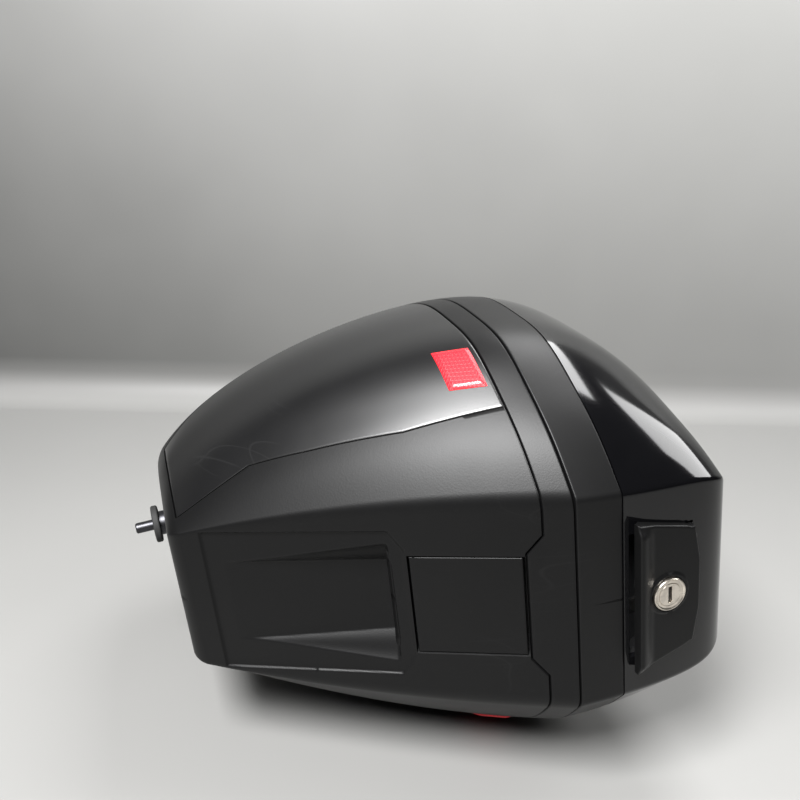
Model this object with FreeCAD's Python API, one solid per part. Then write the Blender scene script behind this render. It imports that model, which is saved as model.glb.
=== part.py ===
import FreeCAD, Part
import math
import os
from FreeCAD import Vector as V

os.makedirs("parts", exist_ok=True)

# ---- driving dimensions, millimetres -------------------------------------
# Heights below are counted from the underside of the case. The finished
# pieces are lifted by PEG_DROP, so that the part's origin is the shoulder of
# the mounting peg.
PEG_DROP = 12.0
SEAM = 214.0
LID_HEIGHT = 120.0
REAR_SEAM = -237.0
FRONT_SEAM = 124.0
SEAM_HALF = 150.0
RIDGE_SEAM = 69.1
REAR_SLOPE = 0.559
WALL = 4.6
SKIN = 2.3
BAND_LOW = 199.0
BASE_TOP = 213.4
LID_LOW = 214.6
GLOSS_LOW = 241.5
HINGE_Y = 132.0
HINGE_X = (20.0, 46.0)
FLAP_Z = 159.0
FLAP_HALF = 33.2
LOCK_Z = 267.0
LOCK_R = 10.5
LEVER_PIN = (-243.5, 286.0)

# half outline of the seam, from the rear ridge round to the front centre
SIDE = [(70, -237), (99.8, -212.8), (123.6, -185.1), (143.5, -154), (151, -118),
        (153.5, -80), (148, -44.5), (138.5, -9), (126, 27), (109, 61),
        (86, 94), (52, 118)]


def base_levels(z):
    """Rear line, front line, ridge half width and half width of the base."""
    t = max(0.0, (SEAM - z) / SEAM)
    rear = REAR_SEAM + REAR_SLOPE * (SEAM - z)
    front = FRONT_SEAM - 36 * t ** 2.3 - 16 * t ** 9
    ridge = RIDGE_SEAM - 22.1 * t ** 2.16
    half = SEAM_HALF * math.sqrt(1 - 0.871 * t ** 1.5)
    return rear, front, ridge, half


def lid_levels(z):
    """The same four figures for the lid."""
    v = (z - SEAM) / LID_HEIGHT
    u = min(1.0, max(0.0, v))
    rear = REAR_SEAM - 21.3 * v * (1 - v) + 72 * u ** 13
    front = FRONT_SEAM - 30 * u ** 2.5 - 64 * u ** 12
    ridge = RIDGE_SEAM - 6 * u - 35 * u ** 8
    half = SEAM_HALF * math.sqrt(1 - 0.915 * u ** 2.2)
    return rear, front, ridge, half


def seam_steps():
    """Spacing of the outline's points, shared by every level."""
    pts = SIDE + [(0, 124)] + [(-x, y) for x, y in reversed(SIDE)]
    steps = [0.0]
    for a, b in zip(pts, pts[1:]):
        steps.append(steps[-1] + math.hypot(b[0] - a[0], b[1] - a[1]))
    return steps


STEPS = seam_steps()


def outline(levels, z, off):
    """Closed outline: straight rear facet and one curve round the rest."""
    rear, front, ridge, half = levels
    rear -= off
    front += off
    ridge += 0.45 * off
    half += off
    side = []
    for x, y in SIDE:
        if y < -95:
            px = ridge + (x - 70) * (half - ridge) / 84.0
        else:
            px = x * half / 154.0
        py = rear + (y + 237) * (front - rear) / 361.0
        side.append(V(px, py, z))
    pts = side + [V(0, front, z)]
    pts += [V(-p.x, p.y, z) for p in reversed(side)]
    curve = Part.BSplineCurve()
    curve.interpolate(Points=pts, Parameters=STEPS)
    return Part.Wire([curve.toShape(), Part.makeLine(pts[-1], pts[0])])


def box(x0, y0, z0, x1, y1, z1):
    return Part.makeBox(x1 - x0, y1 - y0, z1 - z0, V(x0, y0, z0))


def slab(low, high):
    return box(-260, -360, low, 260, 360, high)


def base_body(off=0.0, drop=0.0, low=0.0, high=SEAM):
    """Solid form of the base, grown by off and raised by drop."""
    steps = [s * SEAM for s in (0, 0.047, 0.131, 0.28, 0.514, 0.748, 1, 1.04)]
    wires = [outline(base_levels(z), z + drop, off) for z in steps]
    return Part.makeLoft(wires, True, False).common(slab(low, high))


def lid_body(off=0.0, drop=0.0, low=SEAM, high=SEAM + LID_HEIGHT):
    """Solid form of the lid, grown by off and lowered by drop."""
    steps = [SEAM + s * LID_HEIGHT for s in (-0.06, 0, 0.175, 0.383, 0.583, 0.733, 0.842, 0.917, 0.967, 1)]
    wires = [outline(lid_levels(z), z - drop, off) for z in steps]
    return Part.makeLoft(wires, True, False).common(slab(low, high))


def rod(r, length, pos, axis):
    return Part.makeCylinder(r, length, V(*pos), V(*axis))


def tube(outer, inner, length, pos, axis):
    return rod(outer, length, pos, axis).cut(rod(inner, length, pos, axis))


def prism(points, direction):
    """Extruded polygon from points in space."""
    wire = Part.makePolygon([V(*p) for p in points] + [V(*points[0])])
    return Part.Face(wire).extrude(V(*direction))


def mirror(shape):
    return shape.mirror(V(0, 0, 0), V(1, 0, 0))


def both_sides(shape):
    return [shape, mirror(shape)]


def screw(pos, axis, shank, length, head):
    """Round-headed screw with a socket, its head starting at pos."""
    back = tuple(-a for a in axis)
    body = rod(head, 2.2, pos, back).fuse(rod(shank, length, pos, axis))
    tip = V(*pos) + V(*back) * 2.2
    hexagon = [V(1.5 * math.cos(k * math.pi / 3), 1.5 * math.sin(k * math.pi / 3), 0) for k in range(6)]
    socket = Part.Face(Part.makePolygon(hexagon + [hexagon[0]])).extrude(V(0, 0, 1.4))
    socket.Placement = FreeCAD.Placement(tip, FreeCAD.Rotation(V(0, 0, 1), V(*axis)))
    return body.cut(socket)


# ---- the sloping rear face has its own flat frame ------------------------
SIN = REAR_SLOPE / math.hypot(1, REAR_SLOPE)
COS = 1 / math.hypot(1, REAR_SLOPE)
FACE_O = V(0, REAR_SEAM + REAR_SLOPE * (SEAM - FLAP_Z), FLAP_Z)


def on_face(u, v, n):
    """Point on the rear face: u across, v up the slope, n outwards."""
    p = FACE_O + V(u, 0, 0) + V(0, -SIN, COS) * v + V(0, -COS, -SIN) * n
    return (p.x, p.y, p.z)


def face_block(u0, v0, n0, u1, v1, n1):
    pts = [on_face(u0, v0, n0), on_face(u1, v0, n0), on_face(u1, v1, n0), on_face(u0, v1, n0)]
    way = V(0, -COS, -SIN) * (n1 - n0)
    return prism(pts, (way.x, way.y, way.z))


def up_slope(z):
    return (z - FLAP_Z) / COS


def ruled_plug(top, bottom):
    """Solid between two polygons with the same number of corners."""
    wires = []
    for pts in (top, bottom):
        wires.append(Part.makePolygon([V(*p) for p in pts] + [V(*pts[0])]))
    return Part.makeLoft(wires, True, True)


def wide_recess():
    """Shallow panel recess below the flap, with bevelled upper corners."""
    v0, v1, v2 = up_slope(18), up_slope(121), up_slope(129)
    pts = [(-50, v0), (50, v0), (51, v1), (37, v2), (-37, v2), (-51, v1)]
    low = [on_face(u * 0.97, v + (2 if v == v0 else -1), -1.6) for u, v in pts]
    top = [on_face(u, v, 1.0) for u, v in pts]
    return ruled_plug(top, low)


def deep_recess(grow=0.0):
    """Ramp-sided well that deepens towards the flap."""
    v0, v1 = up_slope(30) - grow, up_slope(121) + grow
    top = [on_face(-29 - grow, v0, 1), on_face(29 + grow, v0, 1),
           on_face(44.5 + grow, v1, 1), on_face(-44.5 - grow, v1, 1)]
    low = [on_face(-28 - grow, v0, -1.7 - grow), on_face(28 + grow, v0, -1.7 - grow),
           on_face(24 + grow, v1 - 2, -13 - grow), on_face(-24 - grow, v1 - 2, -13 - grow)]
    return ruled_plug(top, low)


def cover_prism(grow=0.0):
    """Side view of the left side cover, extruded across the left half."""
    g = grow
    pts = [(-189 - g, BAND_LOW - 0.8 + g), (-188 - g, 198), (-166 - g, 143), (-138 - g, 90),
           (-118.5 - g, 56), (-109 - g, 8 - g), (0 + g, 8 - g), (26 + g, 46), (52 + g, 120),
           (60 + g, BAND_LOW - 0.8 + g)]
    return prism([(-170, y, z) for y, z in pts], (150, 0, 0))


REFLECTOR_MID = (-128.0, -156.0, 184.5)
REFLECTOR_N = (-0.845, -0.535)


def reflector_prism(grow=0.0):
    """Lens outline pushed through the side along the local normal."""
    nx, ny = REFLECTOR_N
    tx, ty = -ny, nx
    pts = []
    for p, q in ((-1, -1), (1, -1), (1, 1), (-1, 1)):
        p, q = p * (1 + grow / 14.5), q * (1 + grow / 10)
        s, z = 15.4 * p + 3.8 * q, 10 * q
        pts.append((REFLECTOR_MID[0] + tx * s - nx * 14, REFLECTOR_MID[1] + ty * s - ny * 14,
                    REFLECTOR_MID[2] + z))
    return prism(pts, (nx * 28, ny * 28, 0))


def band_region(grow=0.0):
    """Rim band's space, with a tab that reaches down to the flap."""
    slab = box(-200, -260, BAND_LOW - grow, 200, 200, SEAM + 3)
    low = 190.4 - grow
    pts = [(-36, -260, low), (36, -260, low), (48, -260, BAND_LOW + 1), (-48, -260, BAND_LOW + 1)]
    return slab.fuse(prism(pts, (0, 60, 0)))


# ---- base ----------------------------------------------------------------
def base_outer():
    return base_body(high=BASE_TOP)


def base_inner():
    return base_body(-WALL, 3.0, 3.6, SEAM + 3)


def hinge_screw_spots():
    return [(x, 202.0) for x in (16.2, 49.8, -16.2, -49.8)]


POCKET_X, POCKET_Y = 20.0, 26.0
BOLT_Z = 11.0


def pocket_screw_spots():
    return [(x, 30.0) for x in (5.0, 35.0, -5.0, -35.0)]


def guide_screw_spots():
    return [(-23.0, -86.0), (23.0, -86.0)]


def make_base_shell():
    outer = base_outer()
    shell = outer.cut(base_inner())
    shell = shell.fuse(outer.common(deep_recess(2.6)))
    shell = shell.cut(wide_recess()).cut(deep_recess())
    pocket = base_body(1.5).cut(base_body(-2.6, 1.4, 0.0, SEAM))
    left = pocket.common(cover_prism(0.5))
    ring = base_body(1.5, high=SEAM + 3).cut(base_body(-2.6, high=SEAM + 3)).common(band_region(0.9))
    shell = shell.cut(left).cut(mirror(left)).cut(ring)
    shell = shell.cut(face_block(-34.2, -33.9, -12, 34.2, 34.4, 3))
    shell = shell.cut(rod(1.3, 77, on_face(-38.5, -30, -2.7), (1, 0, 0)))
    groove = base_body(-3.5, low=211.0, high=SEAM + 3).cut(base_body(-5.4, low=211.0, high=SEAM + 3))
    lip = base_body(-3.0, low=205.0, high=BASE_TOP).cut(base_body(-7.4, low=205.0, high=BASE_TOP))
    shell = shell.fuse(lip).cut(groove)
    shell = shell.cut(box(-16, -232, 204.5, 16, -222, 211.0))
    shell = shell.cut(rod(5.1, 12, (0, 0, -2), (0, 0, 1)))
    shell = shell.cut(box(-13, -74, -2, 13, -52, 6))
    for x in (-POCKET_X, POCKET_X):
        shell = shell.cut(box(x - 9, POCKET_Y - 4, -2, x + 9, POCKET_Y + 4, 6))
    for x, y in pocket_screw_spots() + guide_screw_spots():
        shell = shell.cut(rod(1.9, 12, (x, y, -2), (0, 0, 1)))
    for x, z in hinge_screw_spots():
        shell = shell.cut(rod(1.9, 30, (x, 105, z), (0, 1, 0)))
    return shell


def make_rim_band():
    ring = base_body(high=BASE_TOP).cut(base_body(-2.4, high=SEAM + 3)).common(band_region())
    for x, z in hinge_screw_spots():
        ring = ring.cut(rod(1.9, 30, (x, 105, z), (0, 1, 0)))
    return ring


def make_side_cover():
    skin = base_body().cut(base_body(-SKIN, 1.3, 0.0, SEAM))
    cover = skin.common(cover_prism())
    return cover.cut(reflector_prism(0.4))


def make_reflector():
    lens = base_body(1.4).cut(base_body(-2.4, 1.3, 0.0, SEAM)).common(reflector_prism())
    rim = lens.common(reflector_prism(-2.2))
    low = base_body(0.5).cut(base_body(-2.4, 1.3, 0.0, SEAM)).common(reflector_prism())
    return low.fuse(rim)


def make_floor_mat():
    mat = base_body(-WALL - 2.5, 3.0, 3.8, 6.2)
    mat = mat.cut(rod(12.5, 10, (0, 0, 0), (0, 0, 1)))
    mat = mat.cut(box(-28, -160, 0, 28, -49, 10)).cut(box(-42, 18, 0, 42, 42, 10))
    return mat.cut(deep_recess(3.6))


def make_rim_seal():
    return base_body(-3.6, low=211.1, high=213.9).cut(base_body(-5.3, low=211.1, high=213.9))


def make_peg():
    peg = rod(4.0, 13, (0, 0, -25), (0, 0, 1)).fuse(rod(5.0, 24, (0, 0, -12), (0, 0, 1)))
    peg = peg.fuse(rod(9.0, 6.8, (0, 0, -7), (0, 0, 1)))
    edge = [e for e in peg.Edges if abs(e.BoundBox.ZMax + 25) < 0.01]
    return peg.makeChamfer(0.8, edge)


def make_peg_flange():
    ring = tube(14, 5.05, 4.9, (0, 0, -12), (0, 0, 1))
    edges = [e for e in ring.Edges if e.BoundBox.XLength > 20]
    return ring.makeFillet(1.4, edges)


def make_peg_nut():
    pts = [(9.8 * math.cos(math.pi / 6 + k * math.pi / 3),
            9.8 * math.sin(math.pi / 6 + k * math.pi / 3), 5.4) for k in range(6)]
    nut = prism(pts, (0, 0, 6.0)).cut(rod(5.05, 8, (0, 0, 5), (0, 0, 1)))
    return nut.fuse(tube(11.5, 5.05, 1.7, (0, 0, 3.7), (0, 0, 1)))


def make_tongue_pockets():
    """Closed pockets over the two floor slots that take the rack's tongues."""
    x0, x1 = POCKET_X - 11.0, POCKET_X + 11.0
    pocket = box(x0, 19.5, 3.75, x1, 40, 16).fuse(box(2.2, 26, 3.75, 37.5, 34, 6))
    pocket = pocket.cut(box(x0 + 2, 21.5, 3, x1 - 2, 38, 14))
    for x, y in pocket_screw_spots():
        pocket = pocket.cut(rod(1.9, 8, (x, y, 2), (0, 0, 1)))
    return both_sides(pocket)


def make_floor_screws():
    """Screws of the tongue pockets and the bolt guide."""
    return [screw((x, y, 6.1), (0, 0, -1), 1.8, 5.4, 3.3) for x, y in pocket_screw_spots() + guide_screw_spots()]


def hinge_profile(low):
    """Arm from the wall to the knuckle, below or above the seam."""
    if low:
        pts = [(112, 196), (128, 196), (136.5, 211), (133, 214), (128, 212.6), (112, 212.6)]
    else:
        pts = [(112, 234), (127, 234), (136.5, 217), (134, 214), (128, 215.4), (112, 215.4)]
    return pts


def hinge_leaf(low, x0, x1):
    pts = [(x0, y, z) for y, z in hinge_profile(low)]
    arm = prism(pts, (x1 - x0, 0, 0))
    return arm.fuse(rod(5.0, x1 - x0, (x0, HINGE_Y, SEAM), (1, 0, 0)))


def make_base_brackets():
    leaf = hinge_leaf(True, HINGE_X[0], HINGE_X[0] + 9.0)
    leaf = leaf.fuse(hinge_leaf(True, HINGE_X[1] - 9.0, HINGE_X[1]))
    leaf = leaf.fuse(prism([(12.5, 105, 196), (12.5, 127, 196), (12.5, 127.5, 208), (12.5, 105, 208)],
                           (41.0, 0, 0)))
    leaf = leaf.cut(rod(2.02, 60, (10, HINGE_Y, SEAM), (1, 0, 0)))
    leaf = leaf.cut(base_body(0.05, high=SEAM + 1))
    for x, z in hinge_screw_spots():
        if x > 0:
            leaf = leaf.cut(rod(1.9, 30, (x, 110, z), (0, 1, 0)))
    return both_sides(leaf)


def make_hinge_screws():
    return [screw((x, 127.6, z), (0, -1, 0), 1.8, 16.0, 3.4) for x, z in hinge_screw_spots()]


def make_hinge_pins():
    pin = rod(2.0, 28.0, (HINGE_X[0] - 1, HINGE_Y, SEAM), (1, 0, 0))
    pin = pin.fuse(rod(3.2, 1.6, (HINGE_X[0] - 2.6, HINGE_Y, SEAM), (1, 0, 0)))
    return both_sides(pin)


def make_striker():
    plate = box(-14, -228.5, 205.0, 14, -218.8, 207.4)
    plate = plate.fuse(box(-14, -228.5, 205.0, 14, -226.6, 210.6))
    for x in (-9.0, 9.0):
        plate = plate.cut(rod(1.9, 6, (x, -223.5, 203), (0, 0, 1)))
    return plate.cut(box(-14, -240, 200, 14, -228.4, 215))


def make_release_housing():
    tray = face_block(-39.5, -38.0, -24, 39.5, 39.0, -1).cut(face_block(-34.4, -33.9, -21.6, 34.4, 34.6, 0))
    tray = tray.common(base_body(-WALL - 0.1, 3.0, 3.6, SEAM + 3))
    return tray.cut(deep_recess(2.8)).cut(box(-11.5, -230, 202.0, 11.5, -190, 212))


def make_flap_pin():
    return rod(1.25, 76, on_face(-38, -30, -2.7), (1, 0, 0))


def make_release_flap():
    flap = face_block(-FLAP_HALF, -32.8, -3.2, FLAP_HALF, FLAP_HALF, -0.2)
    flap = flap.fuse(rod(2.5, 2 * FLAP_HALF, on_face(-FLAP_HALF, -30, -2.7), (1, 0, 0)))
    rib = face_block(-29, -22, -9, 29, 28, -3).cut(face_block(-27, -20, -10, 27, 26, -2))
    flap = flap.fuse(rib).fuse(face_block(-9, 22, -15, 9, 24.5, -3))
    return flap.cut(rod(1.32, 80, on_face(-40, -30, -2.7), (1, 0, 0)))


def make_bolt_guide():
    """Block over the tongue's mouth, with the bore that the bolt slides in."""
    guide = box(-19, -100, 3.75, 19, -49.5, 22).fuse(box(-27, -92, 3.75, 27, -80, 6))
    guide = guide.cut(box(-13.5, -74.5, 3, 13.5, -51.5, 18))
    guide = guide.cut(rod(5.07, 30, (0, -102, BOLT_Z), (0, 1, 0)))
    for x, y in guide_screw_spots():
        guide = guide.cut(rod(1.9, 8, (x, y, 2), (0, 0, 1)))
    return guide


def make_rack_bolt():
    bolt = rod(5.0, 43.5, (0, -103.5, BOLT_Z), (0, 1, 0))
    bolt = bolt.cut(prism([(-8, -59, 5), (-8, -65, 5), (-8, -59, 11)], (16, 0, 0)))
    return bolt.fuse(rod(6.2, 2.5, (0, -103.5, BOLT_Z), (0, 1, 0)))


# ---- lid -----------------------------------------------------------------
def lever_points(grow=0.0):
    """Lever outline seen from behind, as x and height."""
    g = grow
    return [(-50 - g, 246 - g), (50 + g, 246 - g), (39 + g, 285 + g), (16, 289 + g),
            (-16, 289 + g), (-39 - g, 285 + g)]


def lever_prism(grow, y0, y1):
    pts = [(x, y0, z) for x, z in lever_points(grow)]
    return prism(pts, (0, y1 - y0, 0))


def make_lid_shell():
    top = SEAM + LID_HEIGHT
    outer = lid_body(low=LID_LOW)
    upper = box(-200, -300, GLOSS_LOW - 0.7, 200, 200, top + 5)
    skin = lid_body(2.0, -1.0, LID_LOW, top + 2).cut(lid_body(-2.6, 1.6, LID_LOW, top - 2.6)).common(upper)
    shell = outer.cut(skin).cut(lid_body(-5.2, 3.4, SEAM - 2, top - 5.2))
    shell = shell.cut(lever_prism(1.3, -260, -225))
    for x, z in lid_screw_spots():
        shell = shell.cut(rod(1.9, 30, (x, 100, z), (0, 1, 0)))
    return shell


def make_lid_cover():
    top = SEAM + LID_HEIGHT
    cover = lid_body(low=LID_LOW).cut(lid_body(-2.4, 1.5, LID_LOW, top - 2.4))
    cover = cover.common(box(-200, -300, GLOSS_LOW, 200, 200, top + 5))
    return cover.cut(lever_prism(1.3, -260, -225))


def lid_screw_spots():
    return [(x, 228.0) for x in (25.6, 40.4, -25.6, -40.4)]


def make_lid_leaves():
    x0, x1 = HINGE_X[0] + 9.4, HINGE_X[1] - 9.4
    leaf = hinge_leaf(False, x0, x1).fuse(prism([(22, 112, 220), (22, 126.5, 220), (22, 126, 234),
                                                 (22, 112, 234)], (22, 0, 0)))
    leaf = leaf.cut(rod(2.07, 60, (10, HINGE_Y, SEAM), (1, 0, 0)))
    leaf = leaf.cut(lid_body(0.05, low=SEAM - 1))
    for x, z in lid_screw_spots():
        if x > 0:
            leaf = leaf.cut(rod(1.9, 30, (x, 105, z), (0, 1, 0)))
    return both_sides(leaf)


def make_lid_screws():
    return [screw((x, 126.9, z), (0, -1, 0), 1.8, 15.0, 3.2) for x, z in lid_screw_spots()]


def make_lever_pocket():
    tray = lever_prism(3.8, -250, -217.6).cut(lever_prism(1.4, -251, -220))
    tray = tray.common(lid_body(-5.3, 3.5, SEAM, SEAM + LID_HEIGHT - 6))
    tray = tray.cut(rod(2.8, 10, (0, -222, 249.5), (0, 1, 0)))
    py, pz = LEVER_PIN
    for x in (-31.8, 28.8):
        lug = rod(1.9, 3.0, (x, py, pz), (1, 0, 0))
        tray = tray.fuse(lug).fuse(box(x, py, pz - 1.9, x + 3.0, -219, pz + 1.9))
    return tray.cut(rod(1.22, 64, (-32, py, pz), (1, 0, 0)))


def make_lever_pin():
    py, pz = LEVER_PIN
    return rod(1.2, 63.6, (-31.8, py, pz), (1, 0, 0))


def make_latch_lever():
    py, pz = LEVER_PIN
    plate = lever_prism(0.0, -246.8, -241.2)
    lip = prism([(-60, -246.0, 262), (-60, -246.8, 260), (-60, -251.5, 249.5), (-60, -251.5, 246),
                 (-60, -248.6, 246), (-60, -244.5, 250)], (120, 0, 0))
    lip = lip.common(lever_prism(0.0, -256, -240))
    relief = prism([(-60, -248.6, 245), (-60, -244.2, 250.4), (-60, -240, 250.4), (-60, -240, 245)],
                   (120, 0, 0))
    lever = plate.fuse(lip).cut(relief)
    lever = lever.cut(rod(1.26, 70, (-35, py, pz), (1, 0, 0)))
    for x in (-32.3, 28.3):
        lever = lever.cut(box(x, -245.5, 279, x + 4.0, -235, 292))
    lever = lever.cut(rod(9.1, 20, (0, -255, LOCK_Z), (0, 1, 0)))
    lever = lever.cut(rod(10.7, 8.15, (0, -255, LOCK_Z), (0, 1, 0)))
    ring = rod(13.5, 0.9, (0, -247.7, LOCK_Z), (0, 1, 0)).cut(rod(10.7, 2, (0, -248, LOCK_Z), (0, 1, 0)))
    return lever.fuse(ring)


def make_lock_housing():
    return tube(12.0, 9.15, 10.8, (0, -241.1, LOCK_Z), (0, 1, 0))


def make_lock_bezel():
    rim = rod(LOCK_R, 2.2, (0, -249.1, LOCK_Z), (0, 1, 0))
    rim = rim.fuse(rod(9.0, 20.0, (0, -247.2, LOCK_Z), (0, 1, 0)))
    return rim.cut(rod(7.26, 30, (0, -251, LOCK_Z), (0, 1, 0)))


def make_lock_plug():
    plug = rod(7.2, 21.8, (0, -248.8, LOCK_Z), (0, 1, 0))
    plug = plug.fuse(box(-2.5, -227.0, LOCK_Z - 2.5, 2.5, -223.4, LOCK_Z + 2.5))
    return plug.cut(box(-5.0, -250, LOCK_Z - 1.2, 5.0, -240, LOCK_Z + 1.2))


def make_lock_cam():
    cam = box(-5, -226.7, LOCK_Z - 5, 13, -224.7, LOCK_Z + 5)
    return cam.cut(box(-2.55, -228, LOCK_Z - 2.55, 2.55, -222, LOCK_Z + 2.55))


def make_spring_leaf():
    strip = prism([(18, -220.1, 254), (18, -220.8, 254), (18, -220.8, 268), (18, -235.5, 278),
                   (18, -235.5, 278.8), (18, -220.1, 268.4)], (9, 0, 0))
    return strip


def make_latch_hook():
    plate = box(-10, -214, 203.0, 10, -211, 256)
    nose = prism([(-10, -213.5, 203.0), (-10, -216.0, 203.0), (-10, -218.0, 204.6), (-10, -213.5, 204.6)],
                 (20, 0, 0))
    stem = rod(2.5, 15.0, (0, -228, 249.5), (0, 1, 0))
    return plate.fuse(nose).fuse(stem)


def save(name, shape):
    """Write one node; a list of solids becomes one compound."""
    if isinstance(shape, list):
        shape = Part.makeCompound(shape)
    shape.translate(V(0, 0, PEG_DROP))
    solids = shape.Solids
    bad = [s for s in solids if not s.isValid()]
    print("%-24s solids %d bad %d volume %.1f cm3" % (name, len(solids), len(bad), shape.Volume / 1000.0))
    shape.exportStep("parts/" + name + ".step")


cover = make_side_cover()
lens = make_reflector()
save("base_shell", make_base_shell())
save("base_rim_band", make_rim_band())
save("side_cover_left", cover.copy())
save("side_cover_right", mirror(cover))
save("reflector_left", lens.copy())
save("reflector_right", mirror(lens))
save("floor_mat", make_floor_mat())
save("rim_seal", make_rim_seal())
save("mounting_peg", make_peg())
save("peg_rubber_flange", make_peg_flange())
save("peg_nut", make_peg_nut())
save("rack_tongue_pockets", make_tongue_pockets())
save("floor_screws", make_floor_screws())
save("hinge_base_brackets", make_base_brackets())
save("hinge_base_screws", make_hinge_screws())
save("hinge_pins", make_hinge_pins())
save("latch_striker", make_striker())
save("release_housing", make_release_housing())
save("flap_pin", make_flap_pin())
save("release_flap", make_release_flap())
save("rack_bolt_guide", make_bolt_guide())
save("rack_bolt", make_rack_bolt())
save("lid_shell", make_lid_shell())
save("lid_gloss_cover", make_lid_cover())
save("hinge_lid_leaves", make_lid_leaves())
save("hinge_lid_screws", make_lid_screws())
save("lever_pocket", make_lever_pocket())
save("lever_pin", make_lever_pin())
save("lever_spring", make_spring_leaf())
save("latch_lever", make_latch_lever())
save("lock_housing", make_lock_housing())
save("lock_bezel", make_lock_bezel())
save("lock_plug", make_lock_plug())
save("lock_cam", make_lock_cam())
save("latch_hook", make_latch_hook())
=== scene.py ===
import math
import bpy
import bmesh
import numpy as np
from mathutils import Matrix, Vector


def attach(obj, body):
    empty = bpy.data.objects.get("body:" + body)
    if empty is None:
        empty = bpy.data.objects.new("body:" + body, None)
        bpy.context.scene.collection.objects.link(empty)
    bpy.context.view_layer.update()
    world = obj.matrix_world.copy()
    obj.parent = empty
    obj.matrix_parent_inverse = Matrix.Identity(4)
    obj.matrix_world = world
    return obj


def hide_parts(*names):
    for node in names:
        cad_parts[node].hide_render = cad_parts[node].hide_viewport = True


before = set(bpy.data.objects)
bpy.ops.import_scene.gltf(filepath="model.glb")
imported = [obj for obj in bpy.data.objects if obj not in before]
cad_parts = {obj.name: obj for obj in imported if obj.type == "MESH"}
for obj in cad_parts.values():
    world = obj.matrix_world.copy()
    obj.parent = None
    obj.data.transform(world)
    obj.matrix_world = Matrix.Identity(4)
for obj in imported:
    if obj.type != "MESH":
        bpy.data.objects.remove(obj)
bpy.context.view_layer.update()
MM = 0.001
LIFT = 12.0

# ---- the case's form, in millimetres above the underside ------------------
SEAM, LID_H = 214.0, 120.0
SIDE = np.array([(70, -237), (99.8, -212.8), (123.6, -185.1), (143.5, -154), (151, -118), (153.5, -80),
                 (148, -44.5), (138.5, -9), (126, 27), (109, 61), (86, 94), (52, 118), (0, 124)], float)
FULL = np.vstack([SIDE, SIDE[-2::-1] * [-1, 1]])
KNOTS = np.r_[0, np.cumsum(np.linalg.norm(np.diff(FULL, axis=0), axis=1))]
T_END = KNOTS[12]
SLOPE = 0.559
SIN, COS = SLOPE / math.hypot(1, SLOPE), 1 / math.hypot(1, SLOPE)


def spline_second(values):
    """Second derivatives of the natural cubic through the knots."""
    n = len(KNOTS)
    h = np.diff(KNOTS)
    a, b = np.eye(n), np.zeros(n)
    for i in range(1, n - 1):
        a[i, i - 1:i + 2] = h[i - 1], 2 * (h[i - 1] + h[i]), h[i]
        b[i] = 6 * ((values[i + 1] - values[i]) / h[i] - (values[i] - values[i - 1]) / h[i - 1])
    return np.linalg.solve(a, b)


def spline(values, t):
    second = spline_second(values)
    i = np.clip(np.searchsorted(KNOTS, t) - 1, 0, len(KNOTS) - 2)
    h = KNOTS[i + 1] - KNOTS[i]
    u, v = (KNOTS[i + 1] - t) / h, (t - KNOTS[i]) / h
    return (u * values[i] + v * values[i + 1]
            + ((u ** 3 - u) * second[i] + (v ** 3 - v) * second[i + 1]) * h * h / 6)


REAR_PART = FULL[:, 1] < -95
RIDGE_W = np.where(REAR_PART, np.sign(FULL[:, 0]) * (1 - (abs(FULL[:, 0]) - 70) / 84), 0.0)
HALF_W = np.where(REAR_PART, np.sign(FULL[:, 0]) * (abs(FULL[:, 0]) - 70) / 84, FULL[:, 0] / 154)
DEPTH_W = (FULL[:, 1] + 237) / 361


def base_levels(z):
    t = np.maximum(0.0, (SEAM - z) / SEAM)
    return (-237 + SLOPE * np.maximum(0.0, SEAM - z), 124 - 36 * t ** 2.3 - 16 * t ** 9,
            69.1 - 22.1 * t ** 2.16, 150 * np.sqrt(1 - 0.871 * t ** 1.5))


def lid_levels(z):
    u = np.clip((z - SEAM) / LID_H, 0, 1)
    return (-237 - 21.3 * u * (1 - u) + 72 * u ** 13, 124 - 30 * u ** 2.5 - 64 * u ** 12,
            69.1 - 6 * u - 35 * u ** 8, 150 * np.sqrt(1 - 0.915 * u ** 2.2))


def form(sig, z, off=0.0, lid=False, drop=0.0, soft=None):
    """Point on the outer form. sig is the way round from the rear ridge,
    negative across the flat rear facet and positive round the side."""
    sig, z = np.broadcast_arrays(np.asarray(sig, float), np.asarray(z, float))
    rear, front, ridge, half = (lid_levels if lid else base_levels)(z - drop)
    rear, front, ridge, half = rear - off, front + off, ridge + 0.45 * off, half + off
    if soft is None:
        soft = 2.2 if lid else 2.5 + 4.5 * (ridge - 47.0) / 22
    t = np.clip(np.maximum(sig, soft), 0, T_END)
    m = spline(DEPTH_W, t)
    cx = spline(RIDGE_W, t) * ridge + spline(HALF_W, t) * half
    cy = rear * (1 - m) + front * m
    a = np.clip((sig + soft) / (2 * soft), 0, 1)
    bx = (1 - a) ** 2 * (ridge - soft) + 2 * a * (1 - a) * ridge + a * a * cx
    by = (1 - a) ** 2 * rear + 2 * a * (1 - a) * rear + a * a * cy
    x = np.where(sig < -soft, ridge + sig, np.where(sig > soft, cx, bx))
    y = np.where(sig < -soft, rear, np.where(sig > soft, cy, by))
    return np.stack([x, y, z], -1)


def smooth(a, b, v):
    t = np.clip((v - a) / (b - a), 0, 1)
    return t * t * (3 - 2 * t)


def on_face(u, v, n):
    """Point on the sloping rear face: u across, v up the slope, n outwards."""
    return np.array([u, -237 + SLOPE * 55 - SIN * v - COS * n, 159 + COS * v - SIN * n])


FACE_OUT = np.array([0, -COS, -SIN])


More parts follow.
